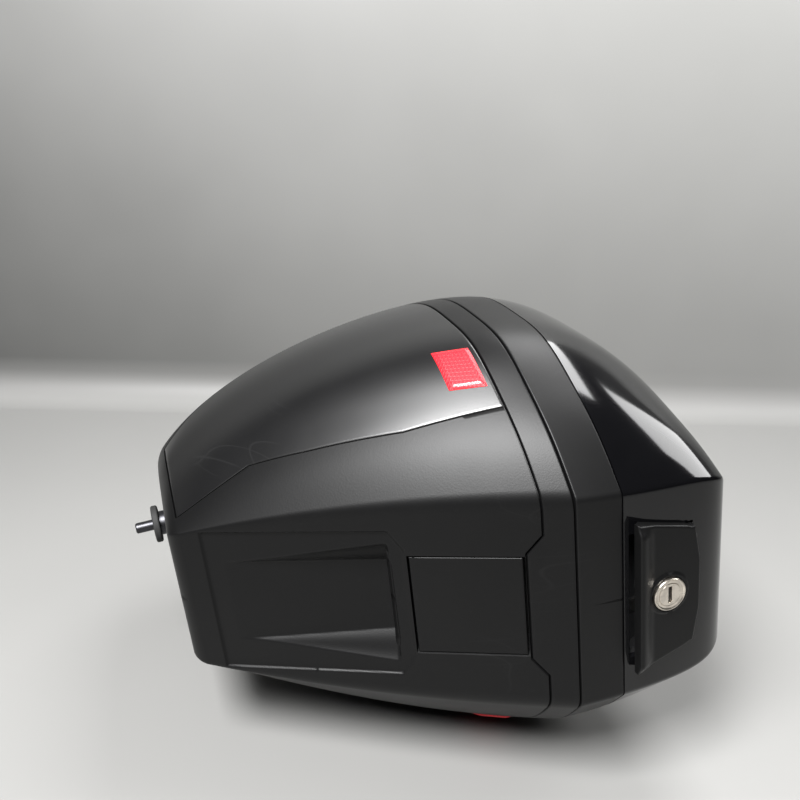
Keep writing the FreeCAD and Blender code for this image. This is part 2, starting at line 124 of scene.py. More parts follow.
# ---- mesh helpers -----------------------------------------------------------
def new_object(name, verts, faces, body, material, smooth_shade=True, lift=True):
    mesh = bpy.data.meshes.new(name)
    v = np.asarray(verts, float) + ([0, 0, LIFT] if lift else [0, 0, 0])
    mesh.from_pydata((v * MM).tolist(), [], [list(map(int, f)) for f in faces])
    mesh.validate()
    if smooth_shade:
        mesh.shade_smooth()
    obj = bpy.data.objects.new(name, mesh)
    bpy.context.scene.collection.objects.link(obj)
    if material:
        mesh.materials.append(material)
    if body:
        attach(obj, body)
    return obj


def grid_faces(rows, cols, start=0, keep=None):
    """Quads of a rows x cols sheet of points."""
    i, j = np.meshgrid(np.arange(rows - 1), np.arange(cols - 1), indexing="ij")
    a = start + i * cols + j
    quads = np.stack([a, a + 1, a + cols + 1, a + cols], -1)
    if keep is not None:
        return quads[keep].tolist()
    return quads.reshape(-1, 4).tolist()


def both_halves(half):
    """Sheet from one half's columns (centre first) to the whole width."""
    other = half[:, :0:-1] * [-1, 1, 1]
    return np.concatenate([other, half], axis=1)


def weld(obj, dist=0.02):
    bm = bmesh.new()
    bm.from_mesh(obj.data)
    bmesh.ops.remove_doubles(bm, verts=bm.verts, dist=dist * MM)
    bmesh.ops.recalc_face_normals(bm, faces=bm.faces)
    bm.to_mesh(obj.data)
    bm.free()
    return obj


def crisp(obj, angle=35):
    """Keep edges sharper than the angle sharp, and smooth the rest."""
    bm = bmesh.new()
    bm.from_mesh(obj.data)
    for e in bm.edges:
        if len(e.link_faces) == 2:
            e.smooth = e.calc_face_angle(0) < math.radians(angle)
        else:
            e.smooth = False
    bm.to_mesh(obj.data)
    bm.free()
    return obj


def bevelled(obj, width, segments=3, angle=30):
    mod = obj.modifiers.new("edge", "BEVEL")
    mod.width, mod.segments, mod.limit_method = width * MM, segments, "ANGLE"
    mod.angle_limit = math.radians(angle)
    mod.harden_normals = False
    return obj


# ---- materials --------------------------------------------------------------
def group(name, build, outs):
    """Shared shader group with value or colour outputs."""
    g = bpy.data.node_groups.new(name, "ShaderNodeTree")
    for n, kind in outs:
        g.interface.new_socket(n, in_out="OUTPUT", socket_type=kind)
    out = g.nodes.new("NodeGroupOutput")
    build(g.nodes, g.links, out)
    return g


def node(nodes, kind, **settings):
    n = nodes.new(kind)
    for k, v in settings.items():
        if k in n.inputs:
            n.inputs[k].default_value = v
        else:
            setattr(n, k, v)
    return n


def ramp(nodes, stops):
    r = nodes.new("ShaderNodeValToRGB")
    while len(r.color_ramp.elements) > 1:
        r.color_ramp.elements.remove(r.color_ramp.elements[0])
    for i, (p, v) in enumerate(stops):
        e = r.color_ramp.elements[0] if i == 0 else r.color_ramp.elements.new(p)
        e.position = p
        e.color = (v, v, v, 1) if not isinstance(v, tuple) else (*v, 1)
    return r


def math_node(nodes, links, op, a, b=None):
    m = nodes.new("ShaderNodeMath")
    m.operation = op
    for i, v in enumerate((a, b)):
        if v is None:
            continue
        if isinstance(v, (int, float)):
            m.inputs[i].default_value = v
        else:
            links.new(v, m.inputs[i])
    return m.outputs[0]


def build_surface(nodes, links, out):
    """Moulding grain, handling smears and fine hair scratches."""
    tex = nodes.new("ShaderNodeTexCoord")
    pos = tex.outputs["Object"]
    grain = node(nodes, "ShaderNodeTexNoise", Scale=1500.0, Detail=2.0, Roughness=0.6)
    cells = node(nodes, "ShaderNodeTexVoronoi", Scale=900.0)
    smear = node(nodes, "ShaderNodeTexNoise", Scale=11.0, Detail=5.0, Roughness=0.62)
    dust = node(nodes, "ShaderNodeTexNoise", Scale=420.0, Detail=3.0, Roughness=0.7)
    for n in (grain, cells, smear, dust):
        links.new(pos, n.inputs["Vector"])
    height = math_node(nodes, links, "ADD", grain.outputs["Fac"],
                       math_node(nodes, links, "MULTIPLY", cells.outputs["Distance"], 0.7))
    links.new(height, out.inputs["Grain"])
    links.new(smear.outputs["Fac"], out.inputs["Smear"])
    spots = ramp(nodes, [(0.0, 0.0), (0.66, 0.0), (0.74, 1.0)])
    links.new(dust.outputs["Fac"], spots.inputs["Fac"])
    links.new(spots.outputs["Color"], out.inputs["Dust"])
    # hair scratches: thin bands of stretched, turned noise
    lines = None
    for turn, scale, low in ((0.5, 38.0, 0.493), (1.9, 30.0, 0.4945), (2.7, 46.0, 0.4935)):
        mp = nodes.new("ShaderNodeMapping")
        mp.inputs["Rotation"].default_value = (0.3, turn, turn * 0.7)
        mp.inputs["Scale"].default_value = (1.0, 0.12, 0.35)
        links.new(pos, mp.inputs["Vector"])
        nz = node(nodes, "ShaderNodeTexNoise", Scale=scale, Detail=0.0)
        links.new(mp.outputs[0], nz.inputs["Vector"])
        thin = ramp(nodes, [(low, 0.0), (0.5, 1.0), (1 - low, 0.0)])
        links.new(nz.outputs["Fac"], thin.inputs["Fac"])
        lines = thin.outputs["Color"] if lines is None else math_node(
            nodes, links, "MAXIMUM", lines, thin.outputs["Color"])
    patch = node(nodes, "ShaderNodeTexNoise", Scale=17.0, Detail=1.0)
    links.new(pos, patch.inputs["Vector"])
    where = ramp(nodes, [(0.62, 0.0), (0.72, 1.0)])
    links.new(patch.outputs["Fac"], where.inputs["Fac"])
    links.new(math_node(nodes, links, "MULTIPLY", lines, where.outputs["Color"]), out.inputs["Scratch"])


SURFACE = group("surface_wear", build_surface, [("Grain", "NodeSocketFloat"), ("Smear", "NodeSocketFloat"),
                                                ("Dust", "NodeSocketFloat"), ("Scratch", "NodeSocketFloat")])


def plastic(name, colour, rough, grain=0.25, spec=0.5, coat=0.0, vary=0.08, scratch=0.5, dust=0.035,
            grain_depth=0.00006, extra=None):
    """Moulded plastic: grain bump, uneven gloss, dust and hair scratches."""
    mat = bpy.data.materials.new(name)
    mat.use_nodes = True
    nodes, links = mat.node_tree.nodes, mat.node_tree.links
    bsdf = nodes["Principled BSDF"]
    wear = nodes.new("ShaderNodeGroup")
    wear.node_tree = SURFACE
    mix = node(nodes, "ShaderNodeMix", data_type="RGBA")
    mix.inputs[6].default_value = (*[c * 0.85 for c in colour], 1)
    mix.inputs[7].default_value = (*[min(1, c * 1.2 + 0.001) for c in colour], 1)
    links.new(wear.outputs["Smear"], mix.inputs[0])
    pale = node(nodes, "ShaderNodeMix", data_type="RGBA")
    pale.inputs[7].default_value = (0.3, 0.3, 0.3, 1)
    links.new(mix.outputs[2], pale.inputs[6])
    amount = math_node(nodes, links, "ADD",
                       math_node(nodes, links, "MULTIPLY", wear.outputs["Scratch"], scratch * 0.015),
                       math_node(nodes, links, "MULTIPLY", wear.outputs["Dust"], dust * 0.3))
    if extra:
        amount = math_node(nodes, links, "ADD", amount, extra(nodes, links))
    links.new(amount, pale.inputs[0])
    links.new(pale.outputs[2], bsdf.inputs["Base Color"])
    r = math_node(nodes, links, "ADD", rough - vary / 2,
                  math_node(nodes, links, "MULTIPLY", wear.outputs["Smear"], vary))
    r = math_node(nodes, links, "ADD", r, math_node(nodes, links, "MULTIPLY", amount, 0.6))
    links.new(r, bsdf.inputs["Roughness"])
    bsdf.inputs["Specular IOR Level"].default_value = spec
    bsdf.inputs["Coat Weight"].default_value = coat
    bsdf.inputs["Coat Roughness"].default_value = 0.03
    bump = nodes.new("ShaderNodeBump")
    bump.inputs["Strength"].default_value = grain
    bump.inputs["Distance"].default_value = grain_depth
    links.new(wear.outputs["Grain"], bump.inputs["Height"])
    links.new(bump.outputs["Normal"], bsdf.inputs["Normal"])
    return mat


def metal(name, colour, rough, brushed=(40, 900, 40), strength=0.15):
    """Plated metal with brushed lines and stains."""
    mat = bpy.data.materials.new(name)
    mat.use_nodes = True
    nodes, links = mat.node_tree.nodes, mat.node_tree.links
    bsdf = nodes["Principled BSDF"]
    bsdf.inputs["Metallic"].default_value = 1.0
    tex = nodes.new("ShaderNodeTexCoord")
    mp = nodes.new("ShaderNodeMapping")
    mp.inputs["Scale"].default_value = brushed
    links.new(tex.outputs["Object"], mp.inputs["Vector"])
    lines = node(nodes, "ShaderNodeTexNoise", Scale=1.0, Detail=4.0, Roughness=0.7)
    links.new(mp.outputs[0], lines.inputs["Vector"])
    stain = node(nodes, "ShaderNodeTexNoise", Scale=260.0, Detail=4.0)
    links.new(tex.outputs["Object"], stain.inputs["Vector"])
    mix = node(nodes, "ShaderNodeMix", data_type="RGBA")
    mix.inputs[6].default_value = (*[c * 0.72 for c in colour], 1)
    mix.inputs[7].default_value = (*colour, 1)
    links.new(ramp_out(nodes, links, stain.outputs["Fac"], [(0.3, 0.0), (0.6, 1.0)]), mix.inputs[0])
    links.new(mix.outputs[2], bsdf.inputs["Base Color"])
    links.new(math_node(nodes, links, "ADD", rough - 0.08,
                        math_node(nodes, links, "MULTIPLY", lines.outputs["Fac"], 0.16)),
              bsdf.inputs["Roughness"])
    bump = nodes.new("ShaderNodeBump")
    bump.inputs["Strength"].default_value = strength
    bump.inputs["Distance"].default_value = 0.00005
    links.new(lines.outputs["Fac"], bump.inputs["Height"])
    links.new(bump.outputs["Normal"], bsdf.inputs["Normal"])
    return mat


def ramp_out(nodes, links, value, stops):
    r = ramp(nodes, stops)
    links.new(value, r.inputs["Fac"])
    return r.outputs["Color"]


def lens_material():
    """Red retro-reflector: clear skin over a field of small pyramids, with a faint painted red glow."""
    mat = bpy.data.materials.new("red_prism_lens")
    mat.use_nodes = True
    nodes, links = mat.node_tree.nodes, mat.node_tree.links
    bsdf = nodes["Principled BSDF"]
    tex = nodes.new("ShaderNodeTexCoord")
    heights = []
    for turn in (0.0, 1.05, 2.1):
        mp = nodes.new("ShaderNodeMapping")
        mp.inputs["Rotation"].default_value = (turn, 0.0, 0.35)
        links.new(tex.outputs["Object"], mp.inputs["Vector"])
        wave = node(nodes, "ShaderNodeTexWave", wave_profile="TRI", bands_direction="Z", Scale=150.0)
        links.new(mp.outputs[0], wave.inputs["Vector"])
        heights.append(wave.outputs["Fac"])
    field = math_node(nodes, links, "MINIMUM", heights[0], heights[1])
    field = math_node(nodes, links, "MINIMUM", field, heights[2])
    mix = node(nodes, "ShaderNodeMix", data_type="RGBA")
    mix.inputs[6].default_value = (0.55, 0.006, 0.012, 1)
    mix.inputs[7].default_value = (0.62, 0.012, 0.02, 1)
    links.new(ramp_out(nodes, links, field, [(0.0, 0.0), (0.55, 1.0)]), mix.inputs[0])
    links.new(mix.outputs[2], bsdf.inputs["Base Color"])
    # painted glow: the lens gives off a faint red light of its own
    links.new(mix.outputs[2], bsdf.inputs["Emission Color"])
    bsdf.inputs["Emission Strength"].default_value = 0.02
    bsdf.inputs["Roughness"].default_value = 0.45
    bsdf.inputs["Specular IOR Level"].default_value = 0.2
    bsdf.inputs["Coat Weight"].default_value = 0.25
    bsdf.inputs["Coat Roughness"].default_value = 0.12
    bump = nodes.new("ShaderNodeBump")
    bump.inputs["Strength"].default_value = 0.6
    bump.inputs["Distance"].default_value = 0.0004
    links.new(field, bump.inputs["Height"])
    links.new(bump.outputs["Normal"], bsdf.inputs["Normal"])
    return mat


GRAINED = plastic("grained_black_plastic", (0.0022, 0.0022, 0.0023), 0.40, grain=0.35, spec=0.17)
COVER = plastic("satin_black_plastic", (0.003, 0.003, 0.0032), 0.3, grain=0.12, spec=0.45, scratch=0.7)
LIDGRAIN = plastic("lid_band_plastic", (0.0025, 0.0025, 0.0026), 0.40, grain=0.3, spec=0.2, scratch=0.8)
GLOSS = plastic("piano_black_plastic", (0.0015, 0.0015, 0.0018), 0.09, grain=0.0, spec=0.36, coat=0.1,
                vary=0.05, scratch=0.5, dust=0.01)
INNER = plastic("plain_moulded_plastic", (0.02, 0.02, 0.021), 0.5, grain=0.3, spec=0.4)
RUBBER = plastic("soft_black_rubber", (0.016, 0.016, 0.016), 0.7, grain=0.6, spec=0.3, vary=0.15)
STEEL = metal("zinc_plated_steel", (0.62, 0.61, 0.59), 0.36)
DARKSTEEL = metal("black_plated_steel", (0.06, 0.06, 0.065), 0.4)
NICKEL = metal("nickel_lock_face", (0.74, 0.68, 0.60), 0.3, brushed=(1400, 30, 60))
LENS = lens_material()


# ---- rear face details ------------------------------------------------------
FLAP_LOW, FLAP_TOP = -33.9, 34.4
HOLE_Z = (159 + COS * FLAP_LOW, 159 + COS * FLAP_TOP)


def slope_v(z):
    return (z - 159) / COS


def recess_depth(x, z):
    """Depth of the panel recess and the ramp-sided well below the flap."""
    u, v = np.abs(x), slope_v(z)
    v0, v1, v2 = slope_v(18.0), slope_v(121.0), slope_v(129.0)
    side = (50 + (v - v0) / (v1 - v0)) - u
    cut = ((v2 - v) * 14 + (37 - u) * (v2 - v1)) / math.hypot(14, v2 - v1)
    inside = np.minimum(np.minimum(side, v - v0), np.minimum(v2 - v, cut))
    wide = 1.6 * smooth(0.0, 1.7, inside)
    w0 = slope_v(30.0)
    f = np.clip((v - w0) / (v1 - w0), 0, 1)
    top, low = 29 + 15.5 * f, 28 - 4 * f
    k = np.clip((top - u) / (top - low), 0, 1)
    k = k + 0.06 * np.sin(2 * math.pi * k) * 0.5
    deep = (1.7 + 11.3 * f) * k * smooth(0.0, 3.0, v1 - v) * (v > w0)
    return np.maximum(wide, deep)


def band_low(x):
    """Lower edge of the rim band, dipping to the flap in the middle."""
    return 199.0 - 8.6 * np.clip((48 - np.abs(x)) / 12, 0, 1)


def cover_edges(z):
    """Rear and front edge of a side cover, as Y at each height."""
    rear = np.interp(z, [0, 8, 56, 90, 143, 198, 214], [-108, -109, -118.5, -138, -166, -188, -190])
    front = np.interp(z, [0, 8, 46, 120, 198, 214], [-4, 0, 26, 52, 60, 61])
    return rear, front


def way_at(y, z, off=0.0, drop=0.0):
    """Way round the outline at which the side passes the depth y."""
    t = np.linspace(0, T_END, 500)
    out = []
    for yy, zz in zip(np.atleast_1d(y), np.atleast_1d(z)):
        pts = form(t, zz, off, drop=drop)
        out.append(np.interp(yy, pts[:, 1], t))
    return np.array(out)


def base_columns(z, gap=0.0, off=0.0, drop=0.0):
    """Ways round the outline for one level, with fixed key columns."""
    ridge = float(base_levels(np.array(z - drop))[2]) + 0.45 * off
    flat = np.r_[np.linspace(0, 34.2, 44), np.linspace(34.2, 42, 14)[1:]] - ridge
    rest = np.linspace(42 - ridge, -6.0 if ridge > 60 else -2.8, 26)[1:]
    edge = np.linspace(rest[-1], 8.0, 16)[1:]
    yr, yf = cover_edges(z)
    tr, tf = way_at([yr - gap, yf + gap], [z, z], off, drop)
    tr = max(tr, 9.0)
    a = np.linspace(8.0, tr, 24)[1:]
    b = tr + (tf - tr) * np.r_[0.004, 0.01, np.linspace(0.02, 0.98, 40), 0.99, 0.996, 1.0]
    c = np.linspace(tf, T_END, 26)[1:]
    return np.r_[flat, rest, edge, a, b, c], len(flat) + len(rest) + len(edge) + len(a)


FOOT = 7.4


def foot(z):
    """Inset of the rounded edge round the underside."""
    return -FOOT * (1 - math.sqrt(1 - max(0.0, 1 - z / FOOT) ** 2))


def make_base_shell():
    """Base moulding: outer wall with its recesses, rim, inner wall, floor."""
    rows, marks = [], {}
    probe, start = base_columns(100.0)
    n = len(probe)
    cover = np.zeros(n)
    cover[start:start + 45] = 1.0
    cover[start] = cover[start + 44] = 0.5
    cover[start - 1] = cover[start + 45] = 0.0

    def level(z, off, drop=0.0, sunk=None):
        cols, _ = base_columns(z, 0.4, 0.0, 0.0)
        p = form(cols, z, off, drop=drop)
        if sunk is not None:
            p = p + sunk(p, cols)
        rows.append(p)

    def outer(p, cols):
        z = p[:, 2]
        d = np.where(cols < 0, recess_depth(p[:, 0], z), 0.0)
        under = np.where((cols < 0), smooth(-1.3, -0.5, z - band_low(p[:, 0])) * 2.6,
                         smooth(-1.3, -0.5, z - 199.0) * 2.6)
        pocket = cover * 2.6 * smooth(7.0, 7.8, z) * (1 - smooth(197.9, 198.6, z))
        move = np.zeros_like(p)
        flat = cols < 2
        move[flat] -= FACE_OUT * np.maximum(d, under)[flat][:, None]
        deep = np.maximum(under, pocket)
        shrunk = form(cols, z, -1.0)[:, :2] - form(cols, z, 0.0)[:, :2]
        move[~flat, :2] += (shrunk * deep[:, None])[~flat]
        return move

    centre = np.array([0.0, -20.0, 0.0])
    bottom = form(base_columns(0.0, 0.4)[0], 0.0, -FOOT)
    for k in np.linspace(0.02, 1, 12):
        rows.append(centre + (bottom - centre) * k)
    for z in (0.12, 0.45, 1.0, 1.7, 2.4):
        level(z, foot(z))
    heights = np.unique(np.round(np.r_[np.arange(3.2, 199, 1.0), 7.0, 7.4, 7.8, 56, 90, 143, 17.6, 18.4,
                                       HOLE_Z[0], HOLE_Z[1], 121.0, 120.2, 129.4,
                                       np.arange(188.5, 199.6, 0.35)], 2))
    keep_from = len(rows)
    for z in heights:
        level(z, foot(z), sunk=outer)
    marks["outer"] = (keep_from + int(np.argmin(abs(heights - HOLE_Z[0]))),
                      keep_from + int(np.argmin(abs(heights - HOLE_Z[1]))))
    for z, off in ((201, -2.6), (206, -2.6), (212.6, -2.6), (213.2, -2.9), (213.4, -3.4),
                   (213.4, -6.8), (213.0, -7.3), (209, -7.4), (205.4, -7.4), (204.6, -5.2)):
        level(z, off)

    def inner(p, cols):
        z = p[:, 2]
        d = recess_depth(p[:, 0], z)
        move = np.zeros_like(p)
        flat = cols < 2
        move[flat] -= FACE_OUT * np.maximum(0.0, d + 2.6 - 4.9)[flat][:, None]
        return move

    inner_heights = np.unique(np.round(np.r_[np.linspace(203.5, 7, 90), HOLE_Z[0] + 2.7, HOLE_Z[1] + 2.7], 2))[::-1]
    start_in = len(rows)
    for z in inner_heights:
        level(z, -4.6, 3.0, sunk=inner)
    marks["inner"] = (start_in + int(np.argmin(abs(inner_heights - HOLE_Z[1] - 2.7))),
                      start_in + int(np.argmin(abs(inner_heights - HOLE_Z[0] - 2.7))))
    last = rows[-1]
    for k in np.linspace(0.97, 0.02, 10):
        r = np.array([0, -20, 3.6]) + (last - [0, -20, 7]) * [k, k, 0]
        r[:, 2] = 3.6
        rows.append(r)
    half = np.array(rows)
    sheet = both_halves(half)
    nr, nc = sheet.shape[:2]
    mid = n - 1
    side = 43
    keep = np.ones((nr - 1, nc - 1), bool)
    for lo, hi in (marks["outer"], marks["inner"]):
        keep[lo:hi, mid - side:mid + side] = False
    faces = grid_faces(nr, nc, keep=keep)
    # walls of the flap opening, from the outer skin to the inner one
    oa, ob = marks["outer"]
    ib, ia = marks["inner"]
    for j in range(mid - side, mid + side):
        faces.append([oa * nc + j, oa * nc + j + 1, ia * nc + j + 1, ia * nc + j])
        faces.append([ob * nc + j + 1, ob * nc + j, ib * nc + j, ib * nc + j + 1])
    verts = sheet.reshape(-1, 3).tolist()
    for j in (mid - side, mid + side):
        faces.append([oa * nc + j, ia * nc + j, ib * nc + j, ob * nc + j])
    obj = new_object("base_moulding", verts, faces, "base", GRAINED)
    # close the front centre line
    weld(obj, 0.05)
    crisp(obj, 50)
    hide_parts("base_shell")
    return obj


def hoop(name, cols, low_at, high, thick, lid, body, material, edge=0.5, steps=16):
    """Band round the case from its lower edge to a level, thick inwards."""
    rows = []

    def row(f, off, shift):
        low = low_at(cols)
        z = low + (high - low) * f + shift
        rows.append(form(cols, z, off, lid=lid))

    for k in range(4):
        a = math.pi / 2 * k / 3
        row(0.0, -edge * (1 - math.sin(a)), edge * (1 - math.cos(a)))
    for f in np.linspace(0, 1, steps)[1:-1]:
        row(f, 0.0, 0.0)
    for k in range(4):
        a = math.pi / 2 * k / 3
        row(1.0, -edge * (1 - math.cos(a)), -edge * (1 - math.sin(a)))
    row(1.0, -thick, 0.0)
    row(0.0, -thick, 0.0)
    rows.append(rows[0])
    sheet = both_halves(np.array(rows))
    obj = new_object(name, sheet.reshape(-1, 3), grid_faces(*sheet.shape[:2]), body, material)
    weld(obj)
    return crisp(obj, 50)


def case_columns():
    ridge = 69.1
    rear = np.linspace(0, 56, 70) - ridge
    rest = np.linspace(56 - ridge, -8, 12)[1:]
    return np.r_[rear, rest, np.linspace(-8, 10, 16)[1:], np.linspace(10, T_END, 90)[1:]]


def make_rim_band():
    cols = case_columns()

    def low(c):
        x = np.where(c < 0, c + 69.1, 90)
        return band_low(x)
    obj = hoop("rim_band", cols, low, 213.4, 2.4, False, "base", GRAINED)
    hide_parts("base_rim_band")
    return obj


def make_side_cover(side):
    """Satin flank panel with rolled edges; side is -1 left or 1 right."""
    zs = np.unique(np.round(np.r_[np.linspace(8.0, 198.2, 110), 56, 90, 143], 2))
    rim = np.array([0.0, 0.25, 0.6, 1.2])
    zrows = np.r_[zs[0] + rim[:-1], zs[(zs > zs[0] + 1.2) & (zs < zs[-1] - 1.2)], zs[-1] - rim[::-1]]
    outer, inner = [], []
    for z in zrows:
        yr, yf = cover_edges(z)
        tr, tf = way_at([yr, yf], [z, z])
        tr = max(tr, 9.6)
        t = np.r_[tr + rim, np.linspace(tr + 2.4, tf - 2.4, 96), tf - rim[::-1]]
        near = np.minimum(np.minimum(t - tr, tf - t), np.minimum(z - zs[0], zs[-1] - z))
        drop = 0.9 * (1 - np.sqrt(np.clip(1 - (1 - np.clip(near, 0, 1.2) / 1.2) ** 2, 0, 1)))
        a, b = form(t, z, 0.0), form(t, z, -1.0)
        p = a + (b - a) * drop[:, None]
        outer.append(p)
        q = form(t, z, -2.3, drop=0.0)
        inner.append(q)
    outer, inner = np.array(outer), np.array(inner)
    nr, nc = outer.shape[:2]
    verts = np.vstack([outer.reshape(-1, 3), inner.reshape(-1, 3)])
    base = nr * nc
    faces = grid_faces(nr, nc) + [f[::-1] for f in grid_faces(nr, nc, base)]
    for i in range(nr - 1):
        for j in (0, nc - 1):
            faces.append([i * nc + j, (i + 1) * nc + j, base + (i + 1) * nc + j, base + i * nc + j])
    for j in range(nc - 1):
        for i in (0, nr - 1):
            faces.append([i * nc + j, i * nc + j + 1, base + i * nc + j + 1, base + i * nc + j])
    verts[:, 0] *= side
    name = "side_cover_" + ("right" if side > 0 else "left")
    obj = new_object(name + "_panel", verts, faces, "base", COVER)
    weld(obj, 0.01)
    crisp(obj, 50)
    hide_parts(name)
    return obj


REFLECTOR_MID = np.array([128.0, -156.0, 184.5])
REFLECTOR_N = (0.845, -0.535)


def make_reflector(side):
    """Lens with a bevelled rim standing just proud of the cover."""
    nx, ny = REFLECTOR_N
    tx, ty = -ny, nx
    verts, faces = [], []
    n = 26
    for q in np.linspace(-1, 1, 18):
        for p in np.linspace(-1, 1, n):
            inset = min(14.5 * (1 - abs(p)), 10 * (1 - abs(q)))
            rise = 0.35 + 1.0 * float(smooth(0.0, 2.2, inset))
            level = REFLECTOR_MID[2] + 10 * q
            s = 15.4 * p - 3.8 * q
            want = np.array([REFLECTOR_MID[0] + tx * s, REFLECTOR_MID[1] + ty * s])
            t = np.linspace(8, 260, 240)
            pts = form(t, level, rise)
            along = (pts[:, 0] - want[0]) * tx + (pts[:, 1] - want[1]) * ty
            p = [np.interp(0, along, pts[:, k]) for k in range(3)]
            verts.append(p)
    faces = grid_faces(18, n)
    back = len(verts)
    for v in list(verts):
        verts.append([v[0] - nx * 3.0, v[1] - ny * 3.0, v[2]])
    faces += [f[::-1] for f in grid_faces(18, n, back)]
    for i in range(17):
        for j in (0, n - 1):
            faces.append([i * n + j, (i + 1) * n + j, back + (i + 1) * n + j, back + i * n + j])
    for j in range(n - 1):
        for i in (0, 17):
            faces.append([i * n + j, i * n + j + 1, back + i * n + j + 1, back + i * n + j])
    verts = np.array(verts)
    verts[:, 0] *= side
    name = "reflector_" + ("right" if side > 0 else "left")
    obj = new_object(name + "_lens", verts, faces, "base", LENS)
    weld(obj, 0.01)
    crisp(obj, 35)
    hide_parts(name)
    return obj


# ---- lid --------------------------------------------------------------------
LEVER_GAP = 1.3


def lever_top(x):
    return 285 + 4 * np.clip((39 - np.abs(x)) / 23, 0, 1)


def lid_sheet(off, z_low, z_top, cap, drop=0.0):
    """Half sheet of the lid with an optional opening for the lever."""
    zlo, zhi = 246 - LEVER_GAP, 289 + LEVER_GAP
    zs = np.unique(np.round(np.r_[np.linspace(z_low, zlo, 4), np.linspace(zlo, zhi, 46),
                                  np.linspace(zhi, 322, 26), np.linspace(322, z_top, 14)], 3))
    zs = zs[(zs >= z_low - 1e-6) & (zs <= z_top + 1e-6)]
    rows = []
    inside = 40
    for z0 in zs:
        ridge = float(lid_levels(np.array(z0))[2])
        hw = min(float(np.interp(z0, [zlo, 285 + LEVER_GAP], [50 + LEVER_GAP, 39 + LEVER_GAP])), 0.62 * ridge)
        x = np.r_[np.linspace(0, hw, inside), np.linspace(hw, ridge - 6, 16)[1:]]
        bow = -(4.0 - 4 * np.clip((39 - x) / 23, 0, 1))
        push = np.interp(z0, [zlo, zhi, 300], [0, 1, 0]) ** 2
        fade = np.clip((ridge - 6 - x) / (ridge - 6 - hw), 0, 1)
        z = z0 + bow * push * fade
        rear = form(x - ridge, z, off, lid=True, drop=-drop)
        sig = np.r_[np.linspace(-6, 6, 20)[1:], np.linspace(6, T_END, 110)[1:]]
        side = form(sig, np.full(len(sig), z0), off, lid=True, drop=-drop)
        rows.append(np.vstack([rear, side]))
    rows = np.array(rows)
    z = rows[..., 2]
    rows[..., 2] = z - 3.9 * (np.clip(z - 310, 0, 30) / 24) ** 2
    if cap:
        last = rows[-1]
        mid = np.array([0.0, -62.0, 0.0])
        cap_rows = []
        for k in np.linspace(1, 0.02, 14)[1:]:
            r = mid + (last - mid) * [k, k, 1]
            r[:, 2] = last[:, 2] + cap * (1 - k * k)
            cap_rows.append(r)
        rows = np.vstack([rows, np.array(cap_rows)])
    lo = int(np.argmin(abs(zs - zlo)))
    hi = int(np.argmin(abs(zs - zhi)))
    return rows, lo, hi, inside - 1


def make_lid(name, z_low, off_out, off_in, drop, material, cap, replaces, edge=0.6):
    """Shell of the lid between two offsets, open below, with the lever hole."""
    outer, lo, hi, side = lid_sheet(off_out, z_low, 334.0, cap)
    inner, lo2, hi2, _ = lid_sheet(off_in, z_low, 334.0 - drop, cap, drop)
    rims = []
    for a in (0.0, 0.35, 0.75, 1.0):
        inset = edge * (1 - math.sin(math.pi / 2 * a))
        shift = outer[0] + (inner[0] - outer[0]) * (inset / max(0.1, abs(off_in - off_out)))
        shift[:, 2] = z_low
        rims.append(shift)
    rows = np.concatenate([inner[::-1], np.array(rims[:-1]), outer])
    n_in, n_rim = len(inner), len(rims) - 1
    sheet = both_halves(rows)
    nr, nc = sheet.shape[:2]
    mid = (nc - 1) // 2
    keep = np.ones((nr - 1, nc - 1), bool)
    o = n_in + n_rim
    keep[o + lo:o + hi, mid - side:mid + side] = False
    a2, b2 = n_in - 1 - hi2, n_in - 1 - lo2
    keep[a2:b2, mid - side:mid + side] = False
    faces = grid_faces(nr, nc, keep=keep)
    for j in range(mid - side, mid + side):
        faces.append([(o + lo) * nc + j, (o + lo) * nc + j + 1, b2 * nc + j + 1, b2 * nc + j])
        faces.append([(o + hi) * nc + j + 1, (o + hi) * nc + j, a2 * nc + j, a2 * nc + j + 1])
    for j in (mid - side, mid + side):
        for k in range(hi - lo):
            k2 = min(k, hi2 - lo2)
            faces.append([(o + lo + k) * nc + j, (o + lo + k + 1) * nc + j,
                          (b2 - min(k + 1, hi2 - lo2)) * nc + j, (b2 - k2) * nc + j])
    obj = new_object(name, sheet.reshape(-1, 3), faces, "lid", material)
    weld(obj, 0.03)
    crisp(obj, 50)
    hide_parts(replaces)
    return obj


def make_lid_band():
    """Matte band between the seam and the gloss cover, with soft edges."""
    cols = case_columns()
    obj = hoop("lid_band_face", cols, lambda c: np.full(len(c), 214.6), 241.0, 2.55, True, "lid", LIDGRAIN,
               edge=0.7, steps=22)
    return obj


